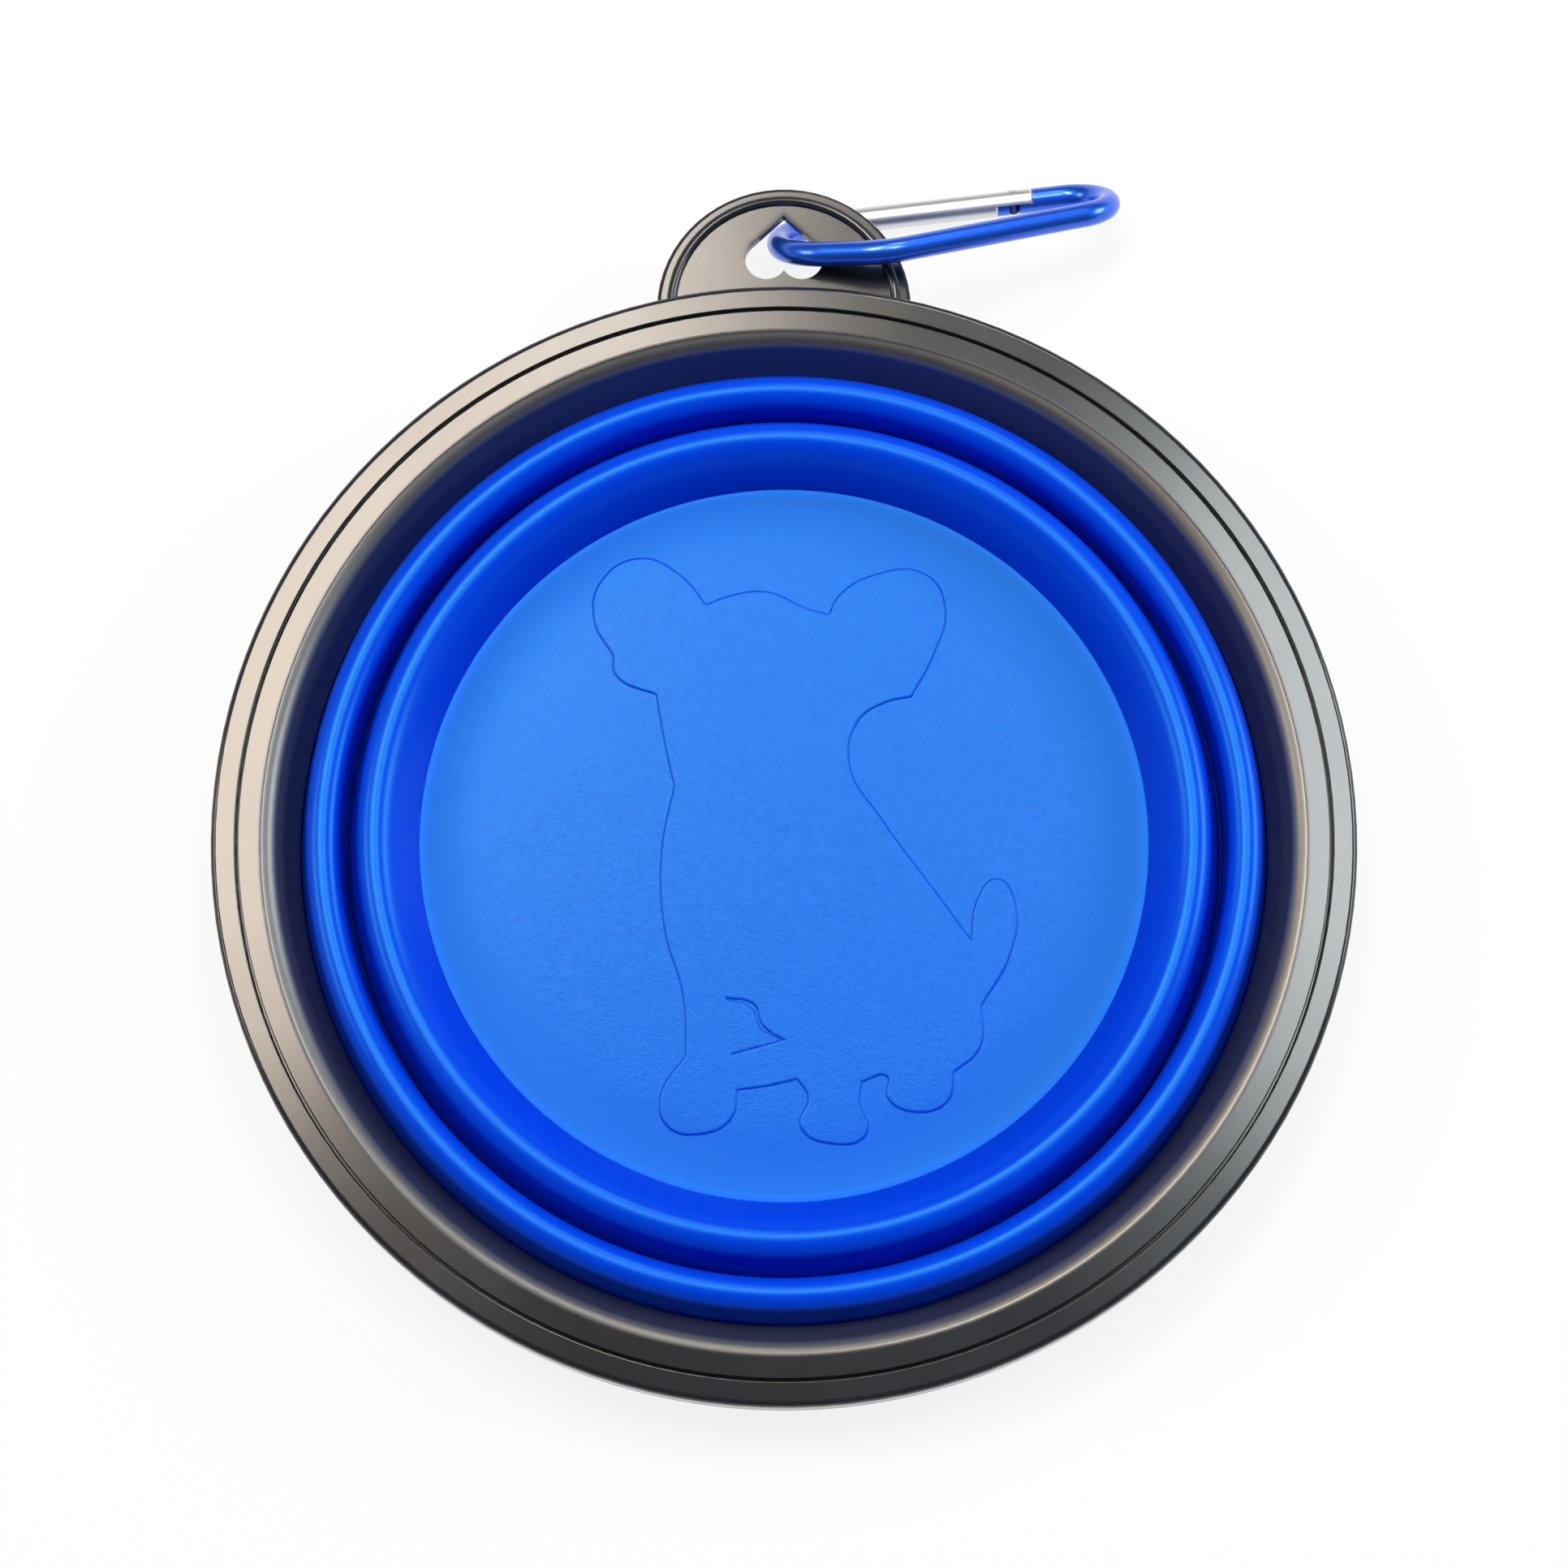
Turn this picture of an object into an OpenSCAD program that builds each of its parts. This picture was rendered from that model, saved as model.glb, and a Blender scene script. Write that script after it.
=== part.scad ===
// Collapsible travel bowl: a soft bowl with two roll folds in a stiff two-part
// rim, with a hanging tab and a small spring-gate clip through the tab's hole.
// Origin: centre of the foot ring, on the table. +Z up, the tab points along +Y.
// The bowl is drawn folded flat. Sections are given as [radius, height].

/* [Rim] */
// Outer diameter of the rim
rim_d = 130; // [110:1:170]
// Height of the folded bowl, from the table to the top of the rim
packed_h = 13; // [12:0.5:16]
// Height of the rim frame's outer side
frame_h = 5; // [4.5:0.1:6]
// Width of the rim frame's top, outside the seam
frame_w = 2.9; // [2.4:0.1:4]
// Thickness of the frame's ledge under the soft flange
ledge_t = 1.4; // [1:0.1:1.8]
// Width of the seam between frame and cap
seam_w = 0.3; // [0.2:0.05:0.8]
// Depth of the seam
seam_depth = 1.2; // [0.4:0.1:1.3]
// Width of the rim cap's top, inside the seam
cap_w = 4.4; // [3.6:0.1:5.5]
// Rounding of the cap's inner top edge
cap_round = 2.1; // [1.2:0.1:2.2]
// How far the cap's inner lip leans inward towards its lower edge
lip_lean = 1.8; // [1:0.1:3]
// Depth of the lip's lower edge below the top of the rim
lip_depth = 7; // [6:0.1:7.5]
// Rounding of the rim frame's outer edges
frame_round = 0.75; // [0.3:0.05:0.9]
// How far the frame's outer side leans inward towards its top
frame_draft = 0.1; // [0:0.05:0.6]
// Rounding of the small edges of both rim rings
edge_round = 0.15; // [0.1:0.05:0.35]

/* [Tab] */
// Radius of the tab
tab_r = 15; // [13:0.5:18]
// How far the tab's centre lies inside the rim's outer edge
tab_inset = 1.8; // [0.5:0.1:4]
// Thickness of the tab
tab_t = 2.2; // [1.8:0.1:2.6]
// Height of the tab's underside above the rim frame's underside
tab_lift = 0.2; // [0.1:0.1:1]
// Rounding of the tab's edge
tab_round = 0.5; // [0.3:0.05:0.8]
// Distance from the tab's edge to the middle of its raised bead
bead_inset = 1.75; // [1.4:0.05:2.5]
// Radius of the raised bead
bead_r = 0.6; // [0.4:0.05:0.8]
// Width of the low step along the tab's edge
step_w = 0.85; // [0.6:0.05:0.9]
// Depth of the low step along the tab's edge
step_h = 0.25; // [0.1:0.05:0.4]
// Distance from the tab's outer edge to where the clip passes the heart hole
hole_inset = 7.4; // [7:0.1:7.8]
// Radius of the two lobes of the heart hole
heart_lobe_r = 2.5; // [2.3:0.05:2.8]
// Distance between the centres of the two lobes
heart_lobe_gap = 4.2; // [3.6:0.1:4.4]
// Distance from the lobes' centre line to the heart's point
heart_len = 5.4; // [5:0.1:6]
// Rounding of the heart hole's edges
heart_round = 0.55; // [0.2:0.05:0.6]

/* [Soft bowl] */
// Depth of the floor below the top of the rim
floor_depth = 6.8; // [5:0.1:8]
// Thickness of the floor
floor_t = 2.8; // [1.8:0.1:3.2]
// Radial run of the sloping wall from the floor's edge to the inner crest
wall_run = 4.85; // [3.5:0.1:7]
// Thickness of the cup's wall
wall_t = 2.2; // [1.6:0.1:2.6]
// Width of the foot ring
foot_w = 3.2; // [2:0.1:5]
// Rounding of the inner crest
cup_round = 2.1; // [1.5:0.05:2.2]
// How far the inner crest lies below the top of the rim
cup_drop = 0.4; // [0:0.1:1.5]
// Rounding of the outer crest
band_round = 1.95; // [1.5:0.05:2.2]
// How far the outer crest lies below the top of the rim
band_drop = 0.95; // [0:0.1:1.5]
// Thickness of the middle band's wall
band_t = 2; // [1.4:0.1:2.4]
// Width of the groove between the two crests
fold_groove = 1.95; // [1.6:0.05:2.5]
// Width of the groove between the outer crest and the lip
lip_groove = 1.1; // [1:0.05:2]
// Thickness of the two folding webs
web_t = 1.1; // [0.8:0.05:1.3]
// Height of the folds' lowest points above the table
fold_lift = 1.1; // [0.6:0.1:1.6]
// Rounding of the folds' lowest points
fold_round = 1.65; // [1.4:0.05:1.8]
// Thickness of the soft flange held between frame and cap
flange_t = 1.3; // [0.8:0.1:1.5]
// Width of the soft flange
flange_w = 3.2; // [2:0.1:3.4]

/* [Clip] */
// Diameter of the clip's rod
rod_d = 2.9; // [2.6:0.1:3.1]
// Bend radius of the wide end, on the rod's centre line
bow_r = 7.2; // [6.9:0.1:8]
// Bend radius of the narrow end, on the rod's centre line
nose_r = 5; // [4.5:0.1:6]
// Distance between the centres of the two end bends, along the gate
bend_span = 27.7; // [26:0.1:34]
// Bend radius of the knee in the spine
knee_r = 8; // [4:0.5:12]
// Angle between the gate and the spine's long stretch
spine_angle = 15; // [8:1:16]
// Angle between the gate and the spine's short stretch
shoulder_angle = 19; // [14:1:26]
// Turn of the clip about the hole, from the +X direction
clip_yaw = 7; // [0:1:20]
// Tilt of the clip's plane from the table
clip_tilt = 54; // [50:1:60]
// Distance from the wide bend's centre to the hinge pin
hinge_at = 2; // [1.9:0.1:3]
// Distance from the narrow bend's centre to the latch pin
latch_at = 5.8; // [4:0.1:7]
// Diameter of the hinge and latch pins
pin_d = 1; // [0.8:0.05:1.2]
// Length of the lapped stretch at the latch
lap_len = 4.1; // [3.4:0.1:5]
// Diameter of the bore in the gate that holds the spring
spring_bore_d = 1.7; // [1.4:0.05:1.9]
// Length of the spring
spring_len = 7; // [5:0.5:10]
// Diameter of the spring's wire
wire_d = 0.3; // [0.2:0.05:0.35]
// Turns of the spring
spring_turns = 9; // [6:1:12]
// Length of the plunger
plunger_len = 2; // [1.5:0.1:3]

/* [Clearances] */
// Clearance between two stiff pieces pressed together
press_gap = 0.05; // [0.02:0.01:0.1]
// Clearance between a soft piece and its neighbour
soft_gap = 0.1; // [0.05:0.05:0.2]
// Radial clearance of a pin in its hole
pin_gap = 0.03; // [0.01:0.01:0.1]
// Clearance between moving faces of the clip
lap_gap = 0.1; // [0.06:0.02:0.2]
// Clearance at the ends of the gate
end_gap = 0.25; // [0.15:0.05:0.4]
// Height of the clip's gate above the table
lie_gap = 0.1; // [0.05:0.05:0.5]

/* [Hidden] */
$fn = 96;
// Steps along the round stretch of a section
crest_steps = 14;
edge_steps = 6;
// Overrun of every cut past the faces it cuts
over = 1;

// Radii, from the rim's outer edge inward
rim_r = rim_d / 2;
frame_in = rim_r - frame_w;
cap_out = frame_in - seam_w;
cap_in = cap_out - cap_w;
lip_r = cap_in - lip_lean;
band_out = lip_r - lip_groove;
band_crest_r = band_out - band_round;
band_in = band_out - 2 * band_round;
cup_out = band_in - fold_groove;
cup_crest_r = cup_out - cup_round;
floor_r = cup_crest_r - wall_run;

// The soft flange and the wall that hangs from it, behind the cap's lip
flange_out = cap_out;
sleeve_in = flange_out - flange_w;
sleeve_out = sleeve_in + flange_t;
ledge_in = sleeve_out + press_gap;

// Heights
frame_z = packed_h - frame_h;
ledge_z = frame_z + ledge_t;
cap_z = ledge_z + flange_t + 2 * press_gap;
lip_z = packed_h - lip_depth;
floor_z = packed_h - floor_depth;
cup_crest_z = packed_h - cup_drop - cup_round;
band_crest_z = packed_h - band_drop - band_round;
fold_z = fold_lift + fold_round;

// Where the webs start under the crests and end on the folds
seat_share = 0.15;
seat_drop = seat_share * cup_round;
cup_seat_z = cup_crest_z - seat_drop;
band_seat_z = band_crest_z - seat_drop;
fold_left = band_in - 2 * soft_gap - web_t;
sleeve_left = band_out + 3 * soft_gap;

// Tab and heart hole
tab_y = rim_r - tab_inset;
tab_z = frame_z + tab_lift;
tab_top = tab_z + tab_t;
hole_y = tab_y + tab_r - hole_inset;
hole_z = tab_z + tab_t / 2;
heart_shift_share = 0.6;
heart_shift = heart_shift_share * heart_lobe_r;

// Clip plane: u runs along the gate, v from the spine to the gate,
// with its origin at the centre of the wide bend
rod_r = rod_d / 2;
pin_r = pin_d / 2;
gate_drop = (hole_z - rod_r - lie_gap) / sin(clip_tilt);
pass_v = bow_r - gate_drop;
pass_u = -sqrt(bow_r * bow_r - pass_v * pass_v);
nose_c = [bend_span, bow_r - nose_r];
shoulder_n = [-sin(shoulder_angle), -cos(shoulder_angle)];
shoulder_d = [cos(shoulder_angle), -sin(shoulder_angle)];
spine_n = [sin(spine_angle), -cos(spine_angle)];
spine_d = [cos(spine_angle), sin(spine_angle)];
shoulder_p = bow_r * shoulder_n;
spine_p = nose_c + nose_r * spine_n;
knee = crossing(shoulder_p, shoulder_d, spine_p, spine_d);
knee_cut = knee_r * tan((shoulder_angle + spine_angle) / 2);
knee_c = knee - knee_cut * shoulder_d - knee_r * shoulder_n;
latch_u = bend_span - latch_at;
gate_start = hinge_at + rod_r + end_gap;
gate_end = latch_u - lap_len / 2 - end_gap;
spring_r = spring_bore_d / 2 - soft_gap - wire_d / 2;
plunger_r = spring_bore_d / 2 - soft_gap / 2;
spring_u = gate_start + plunger_len;
bore_len = plunger_len + spring_len + soft_gap;
// The straight stretches are thinner than the bends by this much, and overlap them
bend_step = 0.01;
bend_overlap = 0.25;

// Where two lines cross, each given by a point and a direction
function crossing(p, d, q, e) =
  let (w = q - p, k = (w.x * e.y - w.y * e.x) / (d.x * e.y - d.y * e.x)) p + k * d;

// The point where a line from p touches a circle, on the side given by turn
function touch(p, c, r, turn) =
  let (w = c - p, d = norm(w), a = atan2(w.y, w.x) + turn * asin(r / d))
  p + sqrt(d * d - r * r) * [cos(a), sin(a)];

// Points on an arc about c, from one angle to another
function arc(c, r, from, to, steps = 8) =
  [for (i = [0 : steps]) let (a = from + (to - from) * i / steps) c + r * [cos(a), sin(a)]];

// The direction from the centre of an arc to one of its points
function heading(c, p) = atan2(p.y - c.y, p.x - c.x);

// A thin conical web between two seats, clear of both
module web(top_r, top_z, bottom_r) {
  rotate_extrude()
    polygon([
      [top_r, top_z - soft_gap],
      [top_r + web_t, top_z - soft_gap],
      [bottom_r + web_t, fold_z + soft_gap],
      [bottom_r, fold_z + soft_gap]
    ]);
}

// Floor, foot ring and sloping wall up to the inner crest
module base_cup() {
  foot_r = floor_r + wall_t;
  crest_c = [cup_crest_r, cup_crest_z];
  wall_top = touch([floor_r, floor_z], crest_c, cup_round, 1);
  color("#1260f0") rotate_extrude()
    polygon(concat(
      [
        [0, floor_z - floor_t],
        [foot_r - foot_w, floor_z - floor_t],
        [foot_r - foot_w, 0],
        [foot_r, 0],
        [foot_r, floor_z - floor_t / 2],
        [cup_crest_r, cup_seat_z]
      ],
      arc(crest_c, cup_round, -asin(seat_drop / cup_round), heading(crest_c, wall_top), crest_steps),
      [[floor_r, floor_z], [0, floor_z]]
    ));
}

module inner_fold_web() {
  color("#0b3fc0") web(cup_out - web_t, cup_seat_z, fold_left);
}

// Middle band: the lowest point of the inner fold, a wall, and the outer crest
module middle_band() {
  wall_out = band_in + band_t;
  fold_r = (wall_out - fold_left) / 2;
  color("#1260f0") rotate_extrude()
    polygon(concat(
      arc([fold_left + fold_r, fold_z], fold_r, -180, 0, crest_steps),
      [[wall_out, band_seat_z]],
      arc([band_crest_r, band_crest_z], band_round, -asin(seat_drop / band_round), 180, crest_steps),
      [[band_in, fold_z]]
    ));
}

module outer_fold_web() {
  color("#0b3fc0") web(band_out - web_t, band_seat_z, sleeve_left);
}

// Soft sleeve: the lowest point of the outer fold, the wall up behind the cap's
// lip, and the flange that the two rim rings hold
module rim_sleeve() {
  inner = sleeve_left + web_t + 2 * soft_gap;
  outer = sleeve_left + 2 * fold_round;
  under_lip = lip_z - soft_gap;
  flange_z = ledge_z + press_gap;
  color("#0c46cc") rotate_extrude()
    polygon(concat(
      arc([sleeve_left + fold_round, fold_z], fold_round, -180, 0, crest_steps),
      [
        [sleeve_out, lip_z],
        [sleeve_out, flange_z],
        [flange_out, flange_z],
        [flange_out, flange_z + flange_t],
        [sleeve_in, flange_z + flange_t],
        [sleeve_in, under_lip],
        [inner, under_lip],
        [inner, fold_z]
      ]
    ));
}

// Heart outline with its point along +Y, the origin where the clip passes it,
// widened all round by grow
module heart(grow = 0) {
  lobe_x = heart_lobe_gap / 2;
  lobe_r = heart_lobe_r + grow;
  side = atan2(lobe_x, heart_len) + asin(heart_lobe_r / norm([lobe_x, heart_len]));
  tip = [0, heart_len - heart_shift + grow / sin(side)];
  right = [lobe_x, -heart_shift];
  left = [-lobe_x, -heart_shift];
  translate(right) circle(r = lobe_r);
  translate(left) circle(r = lobe_r);
  polygon([tip, touch(tip, left, lobe_r, -1), left, right, touch(tip, right, lobe_r, 1)]);
}

// The heart hole, its edges rounded in small steps on both faces of the tab
module heart_hole() {
  translate([0, hole_y, tab_z - over])
    linear_extrude(height = tab_t + 2 * over)
      heart();
  for (step = [1 : edge_steps]) {
    depth = heart_round * (1 - sin(90 * (step - 1) / edge_steps));
    grow = heart_round * (1 - cos(90 * step / edge_steps));
    translate([0, hole_y, tab_top - depth]) linear_extrude(height = depth + over) heart(grow);
    translate([0, hole_y, tab_z - over]) linear_extrude(height = depth + over) heart(grow);
  }
}

// Section of the outer rim ring: a ledge and a leaning wall with rounded edges
module frame_section() {
  foot_c = [rim_r - frame_round, frame_z + frame_round];
  top_c = [rim_r - frame_draft - frame_round, packed_h - frame_round];
  lean = heading(foot_c, top_c) - 90;
  seam_c = [frame_in + edge_round, packed_h - edge_round];
  polygon(concat(
    [[ledge_in, frame_z]],
    arc(foot_c, frame_round, -90, lean, crest_steps),
    arc(top_c, frame_round, lean, 90, crest_steps),
    arc(seam_c, edge_round, 90, 180, edge_steps),
    [[frame_in, ledge_z], [ledge_in, ledge_z]]
  ));
}

// Outer rim ring with its ledge, the tab, the tab's bead and the heart hole
module rim_frame() {
  color("#4a4c50") difference() {
    union() {
      rotate_extrude() frame_section();
      difference() {
        translate([0, tab_y, 0]) rotate_extrude() tab_section();
        translate([0, 0, tab_z - over]) cylinder(r = rim_r - frame_w / 2, h = tab_t + bead_r + 2 * over);
      }
    }
    heart_hole();
  }
}

// Section of the tab: a disc with a rounded edge, a low step and a raised bead
module tab_section() {
  step_z = tab_top - step_h;
  bead_x = tab_r - bead_inset;
  polygon(concat(
    [[0, tab_z]],
    arc([tab_r - tab_round, tab_z + tab_round], tab_round, -90, 0, edge_steps),
    arc([tab_r - tab_round, step_z - tab_round], tab_round, 0, 90, edge_steps),
    [[tab_r - step_w, step_z], [tab_r - step_w, tab_top]],
    arc([bead_x, tab_top], bead_r, 0, 180, crest_steps),
    [[0, tab_top]]
  ));
}

// Inner rim ring: a flat top, a round inner edge and a lip that leans inward
module rim_cap() {
  round_c = [cap_in + cap_round, packed_h - cap_round];
  corner_c = [cap_out - edge_round, packed_h - edge_round];
  lip_top = touch([lip_r, lip_z], round_c, cap_round, 1);
  back = sleeve_in - press_gap;
  seat = frame_in - press_gap;
  color("#4a4c50") rotate_extrude()
    polygon(concat(
      [[lip_r, lip_z]],
      arc(round_c, cap_round, heading(round_c, lip_top), 90, crest_steps),
      arc(corner_c, edge_round, 90, 0, edge_steps),
      [
        [cap_out, packed_h - seam_depth],
        [seat, packed_h - seam_depth],
        [seat, cap_z],
        [back, cap_z],
        [back, lip_z]
      ]
    ));
}

// Puts the clip's plane where it hangs: through the hole, its gate by the table
module in_clip_plane() {
  translate([0, hole_y, hole_z])
    rotate([0, 0, clip_yaw])
      rotate([-clip_tilt, 0, 0])
        translate([-pass_u, -pass_v, 0])
          children();
}

// A straight rod in the clip plane from p to q
module rod(p, q, r) {
  w = q - p;
  translate([p.x, p.y, 0])
    rotate([0, 0, atan2(w.y, w.x)])
      rotate([0, 90, 0])
        cylinder(r = r, h = norm(w));
}

// A straight stretch of the bent rod, reaching a little way into the bends it joins
module stretch(p, q) {
  along = bend_overlap * (q - p) / norm(q - p);
  rod(p - along, q + along, rod_r - bend_step);
}

// A straight end of the bent rod, from the bend at p to its cut face at q
module arm(p, q) {
  along = bend_overlap * (q - p) / norm(q - p);
  rod(p - along, q, rod_r - bend_step);
}

// A bend of the rod about c, starting at the angle from and turning by sweep
module bend(c, bend_r, from, sweep) {
  translate([c.x, c.y, 0])
    rotate([0, 0, from])
      rotate_extrude(angle = sweep)
        translate([bend_r, 0])
          circle(r = rod_r);
}

// Half of the rod at a lapped end: side is 1 for the upper half, -1 for the lower
module half_rod(from_u, to_u, side) {
  slab_z = side > 0 ? lap_gap / 2 : -rod_r - over;
  intersection() {
    rod([from_u, bow_r], [to_u, bow_r], rod_r);
    translate([from_u - over, bow_r - rod_r - over, slab_z])
      cube([to_u - from_u + 2 * over, rod_d + 2 * over, rod_r + over - lap_gap / 2]);
  }
}

// A pin square to the clip plane, from z to z + h
module pin(u, r, z, h) {
  translate([u, bow_r, z]) cylinder(r = r, h = h);
}

// The bent rod, with a half-thick tongue for the hinge and one for the latch
module clip_body() {
  hinge_face = hinge_at - rod_r - end_gap;
  latch_face = latch_u + lap_len / 2 + end_gap;
  color("#1750d8") in_clip_plane() difference() {
    union() {
      bend([0, 0], bow_r, 90, 180 - shoulder_angle);
      stretch(shoulder_p, knee - knee_cut * shoulder_d);
      bend(knee_c, knee_r, 270 - shoulder_angle, shoulder_angle + spine_angle);
      stretch(knee + knee_cut * spine_d, spine_p);
      bend(nose_c, nose_r, 270 + spine_angle, 180 - spine_angle);
      arm([0, bow_r], [hinge_face, bow_r]);
      arm([bend_span, bow_r], [latch_face, bow_r]);
      half_rod(hinge_face - bend_overlap, hinge_at, -1);
      intersection() {
        half_rod(hinge_at - rod_r, hinge_at + rod_r, -1);
        pin(hinge_at, rod_r, -rod_r - over, rod_d + over);
      }
      half_rod(latch_u - lap_len / 2, latch_face + bend_overlap, -1);
    }
    pin(hinge_at, pin_r + pin_gap, -rod_r - over, rod_d + 2 * over);
    latch_notch();
  }
}

// The notch in the latch tongue, open towards the spine
module latch_notch() {
  w = pin_r + pin_gap + lap_gap;
  pin(latch_u, w, -rod_r - over, rod_r + over);
  translate([latch_u - w, bow_r - rod_r - over, -rod_r - over])
    cube([2 * w, rod_r + over, rod_r + over]);
}

// Rivet at the hinge, fixed in the clip body's tongue
module hinge_pin() {
  color("#c8c9cc") in_clip_plane() pin(hinge_at, pin_r, -rod_r, rod_d);
}

// Gate rod with an upper half-thick ear at each end and a bore for the spring
module clip_gate() {
  color("#c8c9cc") in_clip_plane() difference() {
    union() {
      rod([gate_start, bow_r], [gate_end, bow_r], rod_r);
      half_rod(hinge_at, gate_start + rod_r / 4, 1);
      intersection() {
        half_rod(hinge_at - rod_r, hinge_at + rod_r, 1);
        pin(hinge_at, rod_r, -over, rod_r + 2 * over);
      }
      half_rod(gate_end - rod_r / 4, latch_u + lap_len / 2, 1);
    }
    pin(hinge_at, pin_r + pin_gap, -rod_r - over, rod_d + 2 * over);
    pin(latch_u, pin_r + pin_gap, -rod_r - over, rod_d + 2 * over);
    rod([gate_start - over, bow_r], [gate_start + bore_len, bow_r], spring_bore_d / 2);
  }
}

// Rivet at the latch, fixed in the gate's ear and standing in the notch
module latch_pin() {
  color("#c8c9cc") in_clip_plane() pin(latch_u, pin_r, -rod_r + lap_gap, rod_d - lap_gap);
}

// Coil spring inside the gate, as one unbroken tube
module gate_spring() {
  steps = 8;
  sides = 6;
  rings = spring_turns * steps;
  run = spring_len - wire_d;
  points = [
    for (i = [0 : rings], j = [0 : sides - 1])
      let (
        turn = 360 * i / steps,
        a = 360 * j / sides,
        r = spring_r + wire_d / 2 * cos(a),
        u = run * i / rings + wire_d / 2 * sin(a)
      )
      [u, r * cos(turn), r * sin(turn)]
  ];
  walls = [
    for (i = [0 : rings - 1], j = [0 : sides - 1])
      let (k = (j + 1) % sides, a = i * sides, b = a + sides)
      each [[a + j, b + k, a + k], [a + j, b + j, b + k]]
  ];
  first = [for (j = [0 : sides - 1]) j];
  last = [for (j = [sides - 1 : -1 : 0]) rings * sides + j];
  gap = run / spring_turns - wire_d;
  echo(least_gap_between_spring_turns = gap);
  color("#9fa1a6") in_clip_plane()
    translate([spring_u + wire_d / 2 + soft_gap / 2, bow_r, 0])
      polyhedron(points = points, faces = concat(walls, [first, last]));
}

// Plunger between the spring and the hinge tongue
module spring_plunger() {
  color("#9fa1a6") in_clip_plane()
    rod([gate_start - end_gap + soft_gap, bow_r], [spring_u, bow_r], plunger_r);
}

base_cup();
inner_fold_web();
middle_band();
outer_fold_web();
rim_sleeve();
rim_frame();
rim_cap();
clip_body();
hinge_pin();
clip_gate();
latch_pin();
gate_spring();
spring_plunger();
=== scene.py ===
# %% [markdown]
# # Dressing a folding silicone bowl
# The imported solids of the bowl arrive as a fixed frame: a silicone bowl folded flat, a stiff
# rim in two rings, a hanging tab and a small spring-gate clip. This lesson gives them their
# finish. The soft zones are turned again with finer sections, and the hard pieces keep their
# solids and get better materials. Everything is in metres and in the frame's own place.

# %% Load the frame
import math

import bmesh
import bpy
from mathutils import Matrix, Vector


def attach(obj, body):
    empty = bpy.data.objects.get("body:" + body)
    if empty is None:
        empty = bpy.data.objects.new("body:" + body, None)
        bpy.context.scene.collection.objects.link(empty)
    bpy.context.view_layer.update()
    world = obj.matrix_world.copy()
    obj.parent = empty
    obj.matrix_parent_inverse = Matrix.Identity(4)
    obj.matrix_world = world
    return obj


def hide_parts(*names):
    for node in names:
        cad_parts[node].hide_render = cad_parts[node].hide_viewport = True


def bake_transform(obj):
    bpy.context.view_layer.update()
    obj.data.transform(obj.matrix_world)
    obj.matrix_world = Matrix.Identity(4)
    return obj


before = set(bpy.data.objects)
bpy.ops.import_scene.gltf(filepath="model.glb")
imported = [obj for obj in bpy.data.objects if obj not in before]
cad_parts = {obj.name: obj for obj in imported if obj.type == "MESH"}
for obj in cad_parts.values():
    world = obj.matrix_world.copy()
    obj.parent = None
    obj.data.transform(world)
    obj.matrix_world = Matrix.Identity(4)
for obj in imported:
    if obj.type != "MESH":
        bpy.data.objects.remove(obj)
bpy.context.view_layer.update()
MM = 0.001
scene = bpy.context.scene
print("nodes:", sorted(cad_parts))

# %% [markdown]
# ## The camera
# The photo looks down at the bowl from a little in front, with a long lens: the far side of
# the rim is nearly as wide as the near side. A camera can be pointed by eye, but here its
# place and lens come from the rim's ellipse in the photo, so the two pictures overlay.

# %% Set the camera
ELEVATION = math.radians(76.94)
LENS = 81.22
CAMERA_PLACE = (0, -0.0858, 0.4037)

camera = bpy.data.objects.new("camera", bpy.data.cameras.new("camera"))
scene.collection.objects.link(camera)
camera.location = CAMERA_PLACE
camera.rotation_euler = (math.pi / 2 - ELEVATION, 0, 0)
camera.data.lens = LENS
camera.data.sensor_width = 36
camera.data.clip_start = 0.01
scene.camera = camera
scene.view_settings.view_transform = "Standard"
print("camera looks down at", round(math.degrees(ELEVATION), 1), "degrees")

# %% [markdown]
# ## Sums that become nodes
# Shader and geometry trees are long to build by hand. One small class wraps a socket, so that
# a mask can be written as `1 - radius / edge`, and each sum adds its Math node. One method
# adds every other node: it sets the node's own settings first, and then its sockets.

# %% A socket that can be written in sums
class Link:
    """A socket of a node tree. Sums with numbers and other links add Math nodes."""

    def __init__(self, tree, node, socket):
        self.tree, self.node, self.socket = tree, node, socket

    def __getitem__(self, name):
        return Link(self.tree, self.node, self.node.outputs[name])

    def maths(self, operation, *values):
        return self.tree.add("ShaderNodeMath", {"operation": operation}, *values)

    def __add__(self, other):
        return self.maths("ADD", self, other)

    def __sub__(self, other):
        return self.maths("SUBTRACT", self, other)

    def __rsub__(self, other):
        return self.maths("SUBTRACT", other, self)

    def __mul__(self, other):
        return self.maths("MULTIPLY", self, other)

    def __truediv__(self, other):
        return self.maths("DIVIDE", self, other)

    def __pow__(self, other):
        return self.maths("POWER", self, other)

    __radd__ = __add__


class Tree:
    """A node tree, filled one node at a time by add()."""

    def __init__(self, holder):
        holder.nodes.clear()
        self.nodes, self.links = holder.nodes, holder.links

    def fill(self, socket, value):
        """Links a socket, or sets its own value."""
        if isinstance(value, Link):
            self.links.new(value.socket, socket)
        else:
            socket.default_value = value

    def add(self, kind, settings=None, *values, **named):
        """A new node. A named socket is written with _ for each space in its name."""
        node = self.nodes.new(kind)
        for key, value in (settings or {}).items():
            setattr(node, key, value)
        for socket, value in zip(node.inputs, values):
            self.fill(socket, value)
        for name, value in named.items():
            self.fill(node.inputs[name.replace("_", " ")], value)
        first = next((o for o in node.outputs if o.enabled), None)
        return Link(self, node, first)


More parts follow.
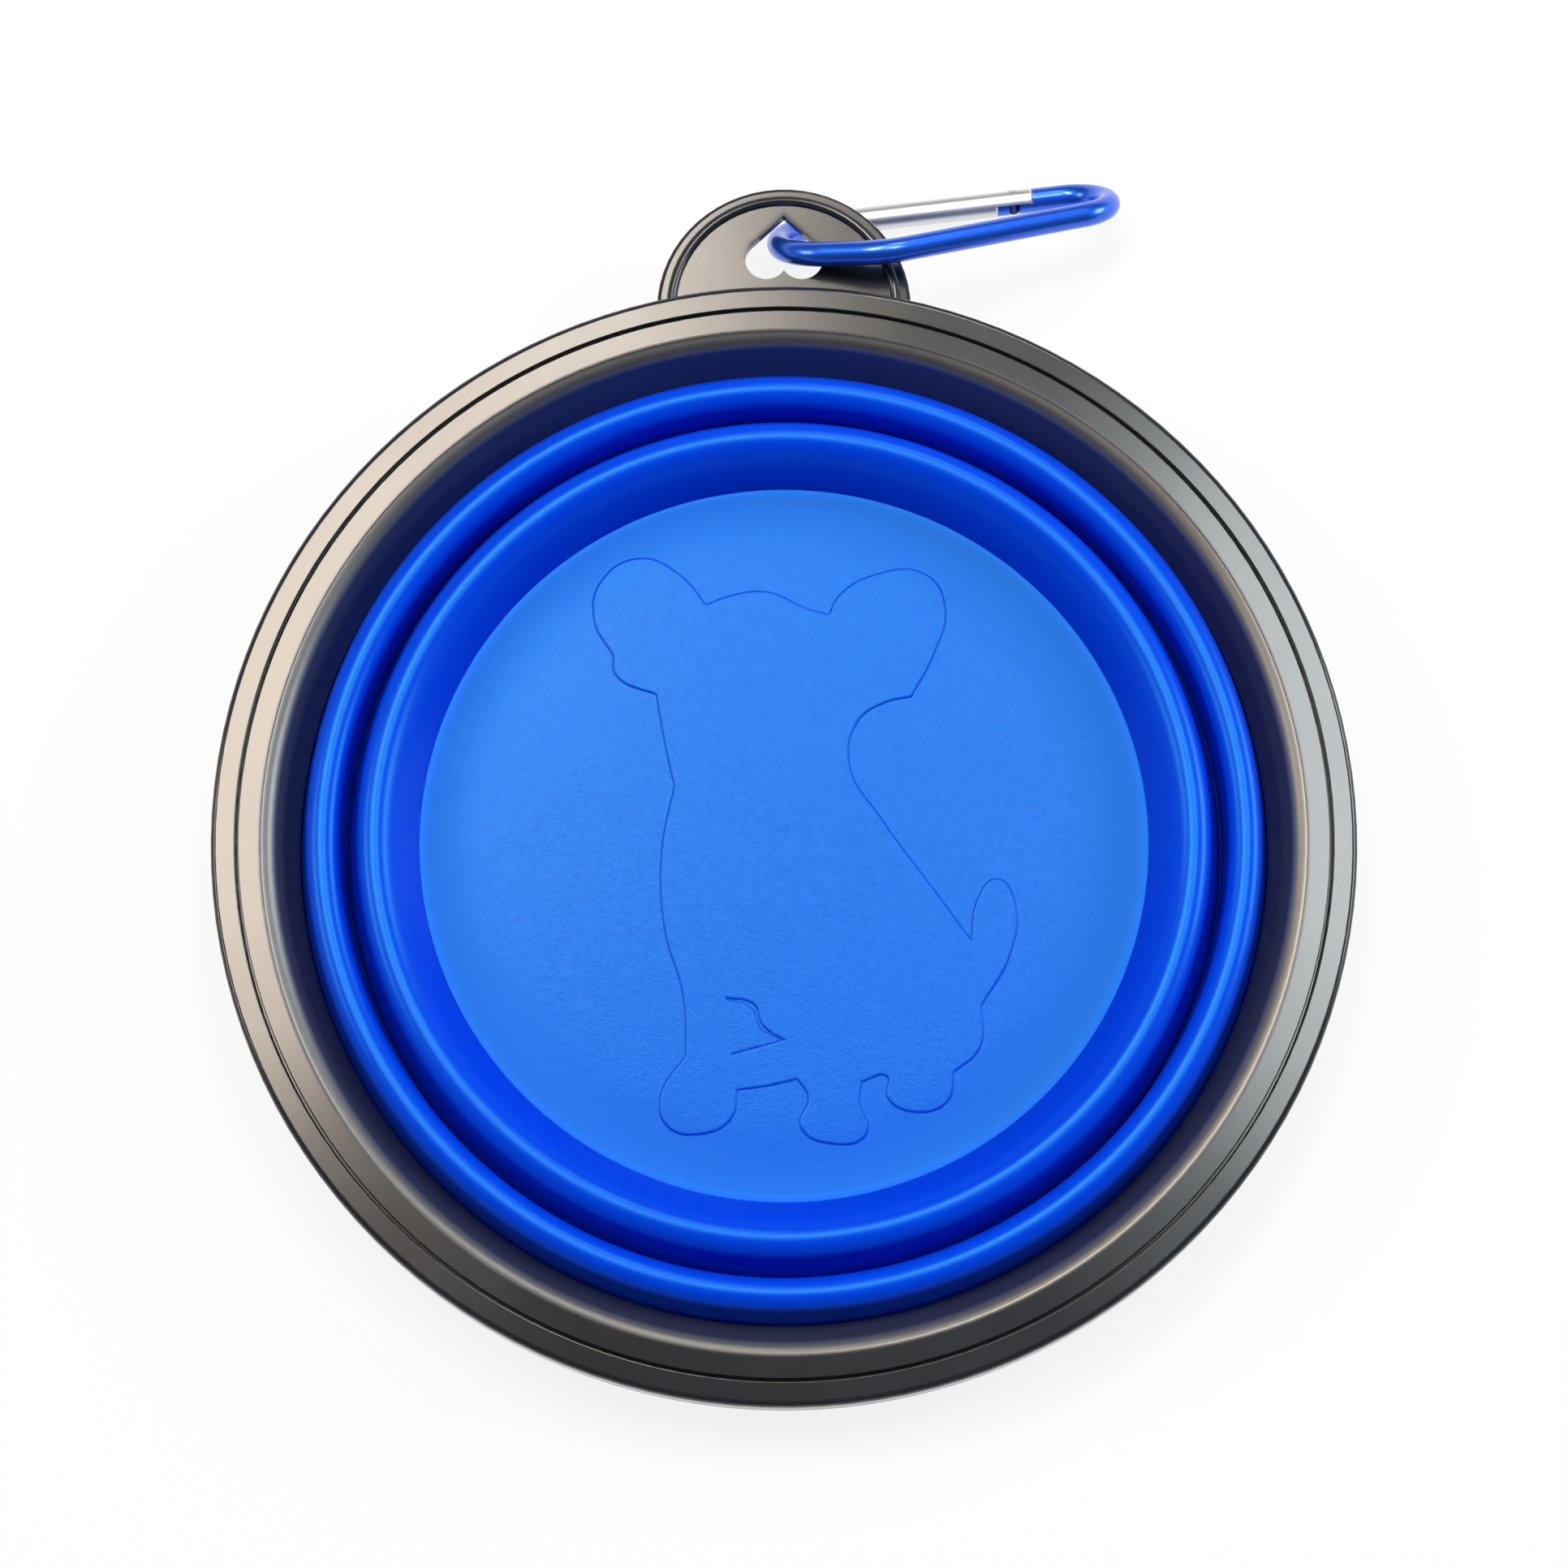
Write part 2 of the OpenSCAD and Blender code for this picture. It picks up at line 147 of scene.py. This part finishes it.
# %% [markdown]
# ## A step between two values
# Most masks here are a smooth step: none of a finish before one radius, all of it after
# another. Map Range does this in one node, with its ends clamped.

# %% Smooth steps and materials
def step(value, start, end):
    """0 before start, 1 after end, smooth between them."""
    settings = {"interpolation_type": "SMOOTHSTEP"}
    return value.tree.add("ShaderNodeMapRange", settings, value, start, end, 0, 1)


def finish(name):
    """A new material: its tree, its shader node, and its Object coordinates."""
    material = bpy.data.materials.new(name)
    material.use_nodes = True
    tree = Tree(material.node_tree)
    place = tree.add("ShaderNodeTexCoord")["Object"]
    shader = tree.add("ShaderNodeBsdfPrincipled")
    tree.add("ShaderNodeOutputMaterial", None, Surface=shader)
    return material, tree, shader, place


def feed(shader, **sockets):
    """Sets or links sockets of a shader, with _ for a space in a socket's name."""
    for name, value in sockets.items():
        shader.tree.fill(shader.node.inputs[name.replace("_", " ")], value)


def mix(tree, share, first, second):
    """Two colours mixed by a share."""
    mixed = tree.add("ShaderNodeMix", {"data_type": "RGBA"})
    values = {"Factor": share, "A": first, "B": second}
    for socket in mixed.node.inputs:
        if socket.enabled and socket.name in values:
            tree.fill(socket, values[socket.name])
    return mixed


def noise(tree, place, scale, detail=2, roughness=0.5):
    """Noise from 0 to 1. scale is in waves per metre."""
    return tree.add(
        "ShaderNodeTexNoise", None, Vector=place, Scale=scale, Detail=detail, Roughness=roughness
    )


def from_axis(place):
    """The distance from the bowl's axis, and the height."""
    xyz = place.tree.add("ShaderNodeSeparateXYZ", None, place)
    return (xyz["X"] * xyz["X"] + xyz["Y"] * xyz["Y"]) ** 0.5, xyz["Z"]


# %% [markdown]
# ## Blue silicone
# The real bowl is one moulding. Its floor comes from a spark-eroded mould face and is matt
# with a fine grain, while the walls and crests are smoother and shine in thin lines. One
# material does both: the distance from the axis decides where the grain lies, and the grain
# fades out before the wall. A weak coat gives the grained part its pale sheen. A small mark
# of the mould's gate lies in the middle. Light is painted into the colour as well: the floor's
# blue is a touch greener and paler than the wall's as a painted sheen, the floor is painted
# darker towards the wall as painted shade, and the foot of the floor's figure is painted
# darker as painted shade.

# %% Make the silicone
FLOOR_Z = 6.2 * MM
FLAT_R, EDGE_R = 35.0 * MM, 41.7 * MM
GRAIN_WAVES = 1500

silicone, tree, shader, place = finish("blue_silicone")
radius, height = from_axis(place)
on_floor = (1 - step(radius, EDGE_R - 1.2 * MM, EDGE_R)) * step(height, 5 * MM, 6 * MM)
# A ramp towards the wall: it fades the grain out, and it paints the floor darker there as
# painted shade.
toward_wall = step(radius, 31 * MM, 40.5 * MM)
matt = on_floor * (1 - toward_wall)
mark = (1 - step(radius, 0.5 * MM, 1.7 * MM)) * on_floor
relief = height - FLOOR_Z
# Painted shade: a thin ring at the foot of the floor's figure.
foot_shade = step(relief, 0.002 * MM, 0.01 * MM) * (1 - step(relief, 0.07 * MM, 0.11 * MM))
foot_shade = foot_shade * (1 - step(radius, FLAT_R - 0.3 * MM, FLAT_R + 0.2 * MM))

grain = noise(tree, place, GRAIN_WAVES, 3, 0.65)
speck = noise(tree, place, 3600, 1)
cloud = noise(tree, place, 28, 2)
wall_blue = mix(tree, cloud, (0.0, 0.042, 0.66, 1), (0.0, 0.05, 0.74, 1))
# The floor's blue is a touch greener and paler than the wall's: a painted sheen.
floor_blue = mix(tree, cloud, (0.001, 0.052, 0.62, 1), (0.002, 0.065, 0.7, 1))
floor_blue = mix(tree, step(grain, 0.42, 0.68) * 0.5, floor_blue, (0.0, 0.04, 0.56, 1))
# Painted shade: the floor is painted darker towards the wall.
floor_blue = mix(tree, toward_wall * 0.9, floor_blue, (0.0, 0.02, 0.58, 1))
# The foot of the figure is painted darker as painted shade.
floor_blue = mix(tree, foot_shade * 0.6, floor_blue, (0.0, 0.03, 0.5, 1))
feed(
    shader,
    Base_Color=mix(tree, on_floor, wall_blue, floor_blue),
    Roughness=0.33 + matt * (grain * 0.14 - 0.02),
    Normal=tree.add(
        "ShaderNodeBump",
        None,
        Strength=0.6,
        Distance=0.06 * MM,
        Height=(grain + speck * 0.5 - mark) * matt,
    ),
    Coat_Weight=matt * 0.07,
    Coat_Roughness=0.25,
    IOR=1.56,
    Specular_Tint=(0.12, 0.85, 1.0, 1),
)
print("silicone grain is about", round(1000 / GRAIN_WAVES, 2), "mm")

# %% [markdown]
# ## Turning a section
# Every soft zone is a turned shape, so its rule is one section swept round the axis. Spin
# could do it, but a Geometry Nodes tree keeps the rule in one place: a grid has one row for
# each point of the section and one column for each step round, and each grid point is moved
# to its row's radius and height at its column's angle. Merging by distance closes the seam
# and the poles.

# %% Build the turning tree
def turning_tree():
    group = bpy.data.node_groups.new("turned_section", "GeometryNodeTree")
    for name, kind in (("Section", "Geometry"), ("Steps round", "Int"), ("Finish", "Material")):
        group.interface.new_socket(name, in_out="INPUT", socket_type="NodeSocket" + kind)
    group.interface.new_socket("Turned", in_out="OUTPUT", socket_type="NodeSocketGeometry")
    tree = Tree(group)
    source = tree.add("NodeGroupInput")
    columns = source["Steps round"] + 1
    rows = tree.add("GeometryNodeAttributeDomainSize", None, source["Section"])["Point Count"]
    grid = tree.add("GeometryNodeMeshGrid", None, Vertices_X=rows, Vertices_Y=columns)
    index = tree.add("GeometryNodeInputIndex")
    row = index.maths("FLOOR", (index + 0.5) / columns)
    column = index - row * columns
    point = tree.add(
        "GeometryNodeSampleIndex",
        {"data_type": "FLOAT_VECTOR"},
        Geometry=source["Section"],
        Value=tree.add("GeometryNodeInputPosition"),
        Index=row,
    )
    section = tree.add("ShaderNodeSeparateXYZ", None, point)
    angle = column * (2 * math.pi) / source["Steps round"]
    place = tree.add(
        "ShaderNodeCombineXYZ",
        None,
        section["X"] * angle.maths("COSINE", angle),
        section["X"] * angle.maths("SINE", angle),
        section["Z"],
    )
    moved = tree.add("GeometryNodeSetPosition", None, Geometry=grid["Mesh"], Position=place)
    closed = tree.add("GeometryNodeMergeByDistance", None, Geometry=moved, Distance=0.002 * MM)
    real = tree.add("GeometryNodeRealizeInstances", None, closed)
    painted = tree.add("GeometryNodeSetMaterial", None, Geometry=real, Material=source["Finish"])
    tree.add("NodeGroupOutput", None, painted)
    return group


turning = turning_tree()
print("turning tree has", len(turning.nodes), "nodes")

# %% [markdown]
# ## From a tree to a plain piece
# The modifier is set by its sockets' identifiers, the evaluated mesh is copied, and the
# helper object goes. What is left is a plain mesh at the origin, with its faces outward.

# %% Turn a section into a piece
STEPS_ROUND = 256


def final_mesh(helper):
    """The mesh that a helper object ends up with. The helper itself goes."""
    bpy.context.view_layer.update()
    evaluated = helper.evaluated_get(bpy.context.evaluated_depsgraph_get())
    mesh = bpy.data.meshes.new_from_object(evaluated)
    mesh.transform(helper.matrix_world)
    bpy.data.objects.remove(helper)
    return mesh


def tidy(mesh, smooth_angle=40, flat_top=False):
    """Merges doubles, points the faces outward and smooths all but the sharp edges."""
    work = bmesh.new()
    work.from_mesh(mesh)
    bmesh.ops.remove_doubles(work, verts=work.verts, dist=0.001 * MM)
    bmesh.ops.dissolve_degenerate(work, edges=work.edges, dist=0.0005 * MM)
    bmesh.ops.recalc_face_normals(work, faces=work.faces)
    for face in work.faces:
        face.smooth = not (flat_top and abs(face.normal.z) > 0.999)
    for edge in work.edges:
        if len(edge.link_faces) == 2:
            edge.smooth = edge.calc_face_angle() < math.radians(smooth_angle)
    work.to_mesh(mesh)
    work.free()
    return mesh


def turned(name, section, material):
    """A turned piece from its section, a list of (radius, height) in millimetres."""
    profile = bpy.data.meshes.new(name + "_section")
    points = [(r * MM, 0, z * MM) for r, z in section]
    profile.from_pydata(points, [(i, i + 1) for i in range(len(points) - 1)], [])
    helper = bpy.data.objects.new(name + "_section", profile)
    scene.collection.objects.link(helper)
    modifier = helper.modifiers.new("turn", "NODES")
    modifier.node_group = turning
    values = {"Steps round": STEPS_ROUND, "Finish": material}
    for socket in turning.interface.items_tree:
        if socket.name in values:
            modifier[socket.identifier] = values[socket.name]
    mesh = tidy(final_mesh(helper))
    piece = bpy.data.objects.new(name, mesh)
    scene.collection.objects.link(piece)
    print(name, "has", len(mesh.polygons), "faces")
    return piece


# %% [markdown]
# ## Rounded corners
# No corner of a moulding is sharp. Each corner of a section is written with its rounding,
# and `rounded` bends the path there. A crest is a true arc, given by its centre, and a long
# gentle bend is a `swoop`.

# %% Round the corners of a section
def arc(centre, radius, start, end, steps=16):
    """Points on an arc, with angles in degrees."""
    turns = [math.radians(start + (end - start) * i / steps) for i in range(steps + 1)]
    return [(centre[0] + radius * math.cos(a), centre[1] + radius * math.sin(a)) for a in turns]


def swoop(start, control, end, steps=20):
    """Points on a curve from start to end, bent towards control."""
    path = []
    for i in range(steps + 1):
        t = i / steps
        w = ((1 - t) ** 2, 2 * t * (1 - t), t * t)
        path.append(tuple(w[0] * start[k] + w[1] * control[k] + w[2] * end[k] for k in (0, 1)))
    return path


def rounded(corners):
    """An open path. Corners are (radius, height) or (radius, height, rounding)."""
    path = []
    for i, (*here, rounding) in enumerate((*c, 0)[:3] for c in corners):
        if not rounding:
            path.append(tuple(here))
            continue
        before, after = corners[i - 1][:2], corners[i + 1][:2]
        a = math.atan2(before[1] - here[1], before[0] - here[0])
        b = math.atan2(after[1] - here[1], after[0] - here[0])
        half = abs((b - a + math.pi) % (2 * math.pi) - math.pi) / 2
        room = min(math.dist(here, before), math.dist(here, after)) * 0.48
        reach = min(rounding / math.tan(half), room)
        start = (here[0] + reach * math.cos(a), here[1] + reach * math.sin(a))
        end = (here[0] + reach * math.cos(b), here[1] + reach * math.sin(b))
        path += swoop(start, here, end, 6)
    return path


# %% [markdown]
# ## The cup
# The cup is the middle of the bowl: a flat floor that rises a little at its edge, a foot
# ring under it, a sloping wall and a round crest. It is the root body, so it stands still
# while the rest folds up around it.

# %% Turn the cup
SEAT_Z = 10.185

cup_section = (
    rounded(
        [
            (0, 3.4),
            (40.7, 3.4, 0.6),
            (40.7, 0, 0.5),
            (43.9, 0, 0.9),
            (43.9, 4.8, 1.0),
            (46.6, SEAT_Z, 0.3),
            (48.63, SEAT_Z),
        ]
    )
    + arc((46.55, 10.5), 2.1, -8.6, 110, 20)
    + swoop((45.83, 12.47), (43.96, 11.79), (41.86, 6.6))[1:-1]
    + rounded([(42.0, 6.95), (41.87, 6.5, 0.12), (41.6, 6.5)])
    + swoop((41.6, 6.5), (38.3, 6.2), (FLAT_R / MM, FLOOR_Z / MM))[1:]
    + [(0, FLOOR_Z / MM)]
)
cup = turned("cup", cup_section, silicone)
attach(cup, "base")
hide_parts("base_cup")

# %% [markdown]
# ## The middle band
# The band is the wall between the two folds: the bottom of the inner fold, a straight wall
# and the outer crest. It rides on its own body, which slides up out of the cup.

# %% Turn the band
band_section = (
    arc((50.95, 2.75), 1.65, -180, 0)
    + arc((52.55, 10.1), 1.95, -9.3, 180, 28)
    + [(50.6, 2.75), (49.3, 2.75)]
)
band = turned("band", band_section, silicone)
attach(band, "band")
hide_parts("middle_band")

# %% [markdown]
# ## The sleeve
# The sleeve hangs from the rim: the bottom of the outer fold, a wall that goes up behind the
# lip of the cap, and a flange that the two rim rings hold.

# %% Turn the sleeve
sleeve_section = arc((56.45, 2.75), 1.65, -180, 0) + rounded(
    [
        (58.1, 2.75),
        (59.9, 6.0, 0.8),
        (59.9, 9.45, 0.3),
        (61.8, 9.45, 0.2),
        (61.8, 10.75, 0.2),
        (58.6, 10.75, 0.2),
        (58.6, 5.9, 0.3),
        (56.1, 5.9, 0.5),
        (56.1, 2.75),
    ]
)[1:] + [(54.8, 2.75)]
sleeve = turned("sleeve", sleeve_section, silicone)
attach(sleeve, "rim")
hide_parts("rim_sleeve")

# %% [markdown]
# ## The folding webs
# Between the stiff zones runs a thin web. On the real bowl it turns inside out as the bowl
# opens: one end stays with the lower zone, and the other goes up with the upper one. Here each
# web is turned once, in its folded place, and is tied to no body.

# %% Turn the webs
TOP_THICK, FOOT_THICK = 1.05, 1.27
WEB_RINGS = 24


def web(name, top, bottom, node):
    """A web from top to bottom, both (radius, height) of its inner face."""
    inner, outer = [], []
    for i in range(WEB_RINGS + 1):
        t = i / WEB_RINGS
        r = top[0] + (bottom[0] - top[0]) * t
        z = top[1] + (bottom[1] - top[1]) * t
        inner.append((r, z))
        outer.append((r + TOP_THICK + (FOOT_THICK - TOP_THICK) * t, z))
    path = outer + inner[::-1]
    piece = turned(name, path + path[:1], silicone)
    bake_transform(piece)
    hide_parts(node)
    return piece


inner_web = web("inner_web", (47.55, 10.16), (49.3, 2.76), "inner_fold_web")
outer_web = web("outer_web", (53.4, 9.76), (54.8, 2.76), "outer_fold_web")

# %% [markdown]
# ## The puppy on the floor
# The floor carries a low moulded figure, less than a fifth of a millimetre proud: only its
# edge shows, dark on one side and light on the other. A flat curve fills an outline with a
# narrow gap in it, and its own bevel gives the edge its slope. Both are drawn as lists of
# points.

# %% Draw the figure
PUPPY = [
    (-9.2, 27.6, 1), (-12.2, 31.2, 0), (-16.8, 33.3, 0), (-21.2, 30.6, 0), (-21.9, 26.0, 0),
    (-19.6, 21.8, 1), (-19.4, 19.6, 0), (-14.6, 17.2, 1), (-13.4, 10.6, 0), (-12.4, 6.2, 1),
    (-13.8, -1.5, 0), (-13.4, -10.5, 0), (-11.2, -18.5, 0), (-10.9, -25.2, 1), (-13.8, -30.2, 0),
    (-12.9, -33.2, 0), (-9.4, -33.9, 0), (-6.2, -32.3, 0), (-5.5, -28.9, 1), (-1.8, -28.4, 0),
    (1.6, -27.6, 1), (3.0, -30.0, 0), (2.1, -33.2, 0), (5.4, -35.0, 0), (9.1, -34.0, 0),
    (8.3, -30.6, 0), (8.6, -28.0, 1), (11.8, -27.4, 0), (12.0, -30.0, 0), (14.8, -31.4, 0),
    (18.3, -30.3, 0), (19.0, -27.0, 1), (22.0, -24.2, 0), (22.2, -19.4, 1), (25.6, -13.4, 0),
    (26.2, -7.6, 0), (24.4, -5.0, 0), (22.5, -7.0, 0), (21.6, -12.6, 1), (17.6, -7.0, 0),
    (11.0, 2.2, 0), (7.4, 8.4, 0), (8.3, 13.9, 0), (11.6, 16.3, 0), (14.6, 17.0, 1),
    (17.2, 22.0, 0), (18.6, 27.6, 0), (16.4, 31.4, 0), (10.4, 31.2, 0), (6.6, 28.8, 0),
    (5.4, 26.4, 1), (2.6, 27.2, 0), (-2.0, 29.2, 0), (-6.0, 28.8, 0),
]
LEG_GAP = [
    (-6.9, -18.3, 1), (-3.2, -19.2, 0), (-2.2, -21.6, 0), (0.6, -23.5, 1), (-6.2, -25.5, 1),
    (-6.3, -24.8, 1), (-1.1, -23.4, 1), (-2.95, -22.1, 0), (-3.9, -19.9, 0), (-6.8, -19.0, 1),
]
EDGE_SLOPE, EDGE_HEIGHT = 0.32, 0.16


def spline(curve, points):
    """A closed line through points (x, y, corner), in millimetres."""
    line = curve.splines.new("BEZIER")
    line.bezier_points.add(len(points) - 1)
    for knot, (x, y, corner) in zip(line.bezier_points, points):
        knot.co = (x * MM, y * MM, 0)
        knot.handle_left_type = knot.handle_right_type = "VECTOR" if corner else "AUTO"
    line.use_cyclic_u = True
    line.resolution_u = 8


outline = bpy.data.curves.new("puppy_outline", "CURVE")
outline.dimensions, outline.fill_mode = "2D", "BOTH"
outline.bevel_depth = EDGE_SLOPE * MM
outline.bevel_resolution = 3
spline(outline, PUPPY)
spline(outline, LEG_GAP)
sketch = bpy.data.objects.new("puppy_outline", outline)
scene.collection.objects.link(sketch)
sketch.location = (0, 0, FLOOR_Z)
sketch.scale = (1, 1, EDGE_HEIGHT / EDGE_SLOPE)
raised = tidy(final_mesh(sketch), 60, flat_top=True)
raised.materials.clear()
raised.materials.append(silicone)
figure = bpy.data.objects.new("floor_figure", raised)
scene.collection.objects.link(figure)
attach(figure, "base")
print("figure has", len(raised.polygons), "faces")

# %% [markdown]
# ## Rim plastic
# Both rim rings are moulded in dark grey plastic with a satin shine. Most of what the photo
# shows on it is the room: warm light on one side, cool on the other. So the colour is dark
# and even, and the roughness carries faint cloudy marks from the mould. The cap's inner
# rounding is duller, and a coat on it catches the side windows as a soft silver band.

# %% Make the rim plastic
CAP_FLAT = 59.2 * MM

plastic, tree, shader, place = finish("grey_plastic")
cloud = noise(tree, place, 60, 3)
fleck = noise(tree, place, 900, 2)
inside = 1 - step(from_axis(place)[0], CAP_FLAT - 0.7 * MM, CAP_FLAT)
feed(
    shader,
    Base_Color=mix(tree, cloud, (0.012, 0.014, 0.018, 1), (0.017, 0.020, 0.025, 1)),
    Roughness=0.14 + cloud * 0.06 + inside * 0.28,
    Normal=tree.add("ShaderNodeBump", None, Strength=0.03, Distance=0.02 * MM, Height=fleck),
    Coat_Weight=inside,
    Coat_Roughness=0.42,
    Coat_IOR=2.2,
    IOR=1.58,
)

# %% [markdown]
# ## Metals
# The clip's body is anodised: dye in a clear hard skin over bright metal. A metal with a
# deep blue colour and a thin clear coat gives both reflections, the blue one and the white
# one. The gate is bare metal, with fine lines along it, and the rivets are plated steel.

# %% Make the metals
anodised, tree, shader, place = finish("blue_anodised")
fine = noise(tree, place, 500, 2)
feed(
    shader,
    Base_Color=mix(tree, fine, (0.01, 0.11, 0.78, 1), (0.014, 0.135, 0.88, 1)),
    Roughness=0.33 + fine * 0.05,
    Metallic=0.8,
    Coat_Weight=0.8,
    Coat_Roughness=0.12,
)


def bare_metal(name, tone, lines, roughness):
    """Bare metal with drawn lines. lines is the scale along X, Y and Z."""
    material, tree, shader, place = finish(name)
    drawn = tree.add("ShaderNodeMapping", {"vector_type": "POINT"}, Vector=place, Scale=lines)
    streak = noise(tree, drawn, 1, 3)
    dark = tuple(t * 0.86 for t in tone)
    feed(
        shader,
        Base_Color=mix(tree, streak, (*dark, 1), (*tone, 1)),
        Roughness=roughness + streak * 0.1,
        Normal=tree.add("ShaderNodeBump", None, Strength=0.2, Distance=0.02 * MM, Height=streak),
        Metallic=1.0,
    )
    return material


gate_metal = bare_metal("bare_aluminium", (0.8, 0.8, 0.82), (60, 2500, 2500), 0.36)
steel = bare_metal("plated_steel", (0.62, 0.62, 0.64), (2500, 2500, 2500), 0.25)

# %% [markdown]
# ## Finishes on the solids
# The hard pieces keep the solids of the frame. Each only gets its material, in place of the
# plain one that it came with.

# %% Give the hard pieces their materials
FINISHES = {
    plastic: ("rim_frame", "rim_cap"),
    anodised: ("clip_body",),
    gate_metal: ("clip_gate",),
    steel: ("hinge_pin", "latch_pin", "gate_spring", "spring_plunger"),
}
for material, nodes in FINISHES.items():
    for node in nodes:
        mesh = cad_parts[node].data
        mesh.materials.clear()
        mesh.materials.append(material)
        print(node, "->", material.name)

# %% [markdown]
# ## Floor
# A pale floor takes a faint shadow. To a direct or mirrored look it also glows, so that it
# stays white, while its own shading lights the part softly from below.

# %% Lay the floor
GROUND_REACH = 6
GROUND_Z = -0.05 * MM

sheet = bpy.data.meshes.new("floor")
corners = [(-1, -1), (1, -1), (1, 1), (-1, 1)]
points = [(x * GROUND_REACH, y * GROUND_REACH, GROUND_Z) for x, y in corners]
sheet.from_pydata(points, [], [(0, 1, 2, 3)])
ground = bpy.data.objects.new("floor", sheet)
scene.collection.objects.link(ground)

pale = bpy.data.materials.new("pale_floor")
pale.use_nodes = True
tree = Tree(pale.node_tree)
paths = tree.add("ShaderNodeLightPath")
mirrored = paths.maths("MAXIMUM", paths["Is Glossy Ray"], paths["Is Transmission Ray"])
seen = paths.maths("MAXIMUM", paths["Is Camera Ray"], mirrored)
paper = tree.add("ShaderNodeBsdfDiffuse", None, Color=(0.85, 0.85, 0.85, 1))
white = tree.add("ShaderNodeEmission", None, Color=(1, 1, 1, 1), Strength=1.0)
shown = tree.add("ShaderNodeMixShader", None, seen * 0.85, paper, white)
tree.add("ShaderNodeOutputMaterial", None, Surface=shown)
sheet.materials.append(pale)
print("floor is", 2 * GROUND_REACH, "m wide")

# %% [markdown]
# ## Light
# The flat rim works as a mirror, so its tones come from what hangs over it: a warm panel over
# the far left corner, a cool one over the far right corner, and nothing over the near side,
# which stays dark. A lamp beyond the tab draws the thin lines on the crests, and a low window
# on each side lights the rim's inner rounding. The room is dark above a bright horizon.

# %% Hang the lights
def panel(name, place, size, radiance, colour):
    """An area light that faces the bowl. radiance is what a mirror would show of it."""
    lamp = bpy.data.lights.new(name, "AREA")
    lamp.shape, lamp.size, lamp.size_y = "RECTANGLE", *size
    lamp.energy = radiance * math.pi * size[0] * size[1]
    lamp.color = colour
    holder = bpy.data.objects.new(name, lamp)
    scene.collection.objects.link(holder)
    holder.location = place
    holder.rotation_euler = (-Vector(place)).to_track_quat("-Z", "Y").to_euler()


panel("left_panel", (-0.25, 0.26, 1.0), (0.34, 0.28), 17, (1.0, 0.86, 0.72))
panel("corner_panel", (-0.085, 0.47, 1.0), (0.13, 0.2), 19, (1.0, 0.9, 0.78))
panel("tab_panel", (0.05, 0.57, 1.0), (0.06, 0.12), 10, (1.0, 0.92, 0.82))
panel("right_panel", (0.25, 0.24, 1.0), (0.3, 0.28), 12, (0.93, 0.99, 1.0))
panel("key_panel", (0.24, 0.92, 0.98), (0.3, 0.16), 18, (1.0, 0.93, 0.82))
panel("right_window", (1.05, 0.25, 0.52), (0.6, 0.4), 8, (0.9, 0.96, 1.0))
panel("left_window", (-0.95, 0.1, 0.72), (0.5, 0.35), 7, (1.0, 0.88, 0.75))

world = bpy.data.worlds.new("studio")
scene.world = world
world.use_nodes = True
tree = Tree(world.node_tree)
up = tree.add("ShaderNodeSeparateXYZ", None, tree.add("ShaderNodeTexCoord")["Generated"])["Z"]
room = mix(tree, step(up, 0.02, 0.18), (1, 1, 1, 1), (0.07, 0.075, 0.09, 1))
sky = tree.add("ShaderNodeBackground", None, room, 1.0)
tree.add("ShaderNodeOutputWorld", None, Surface=sky)
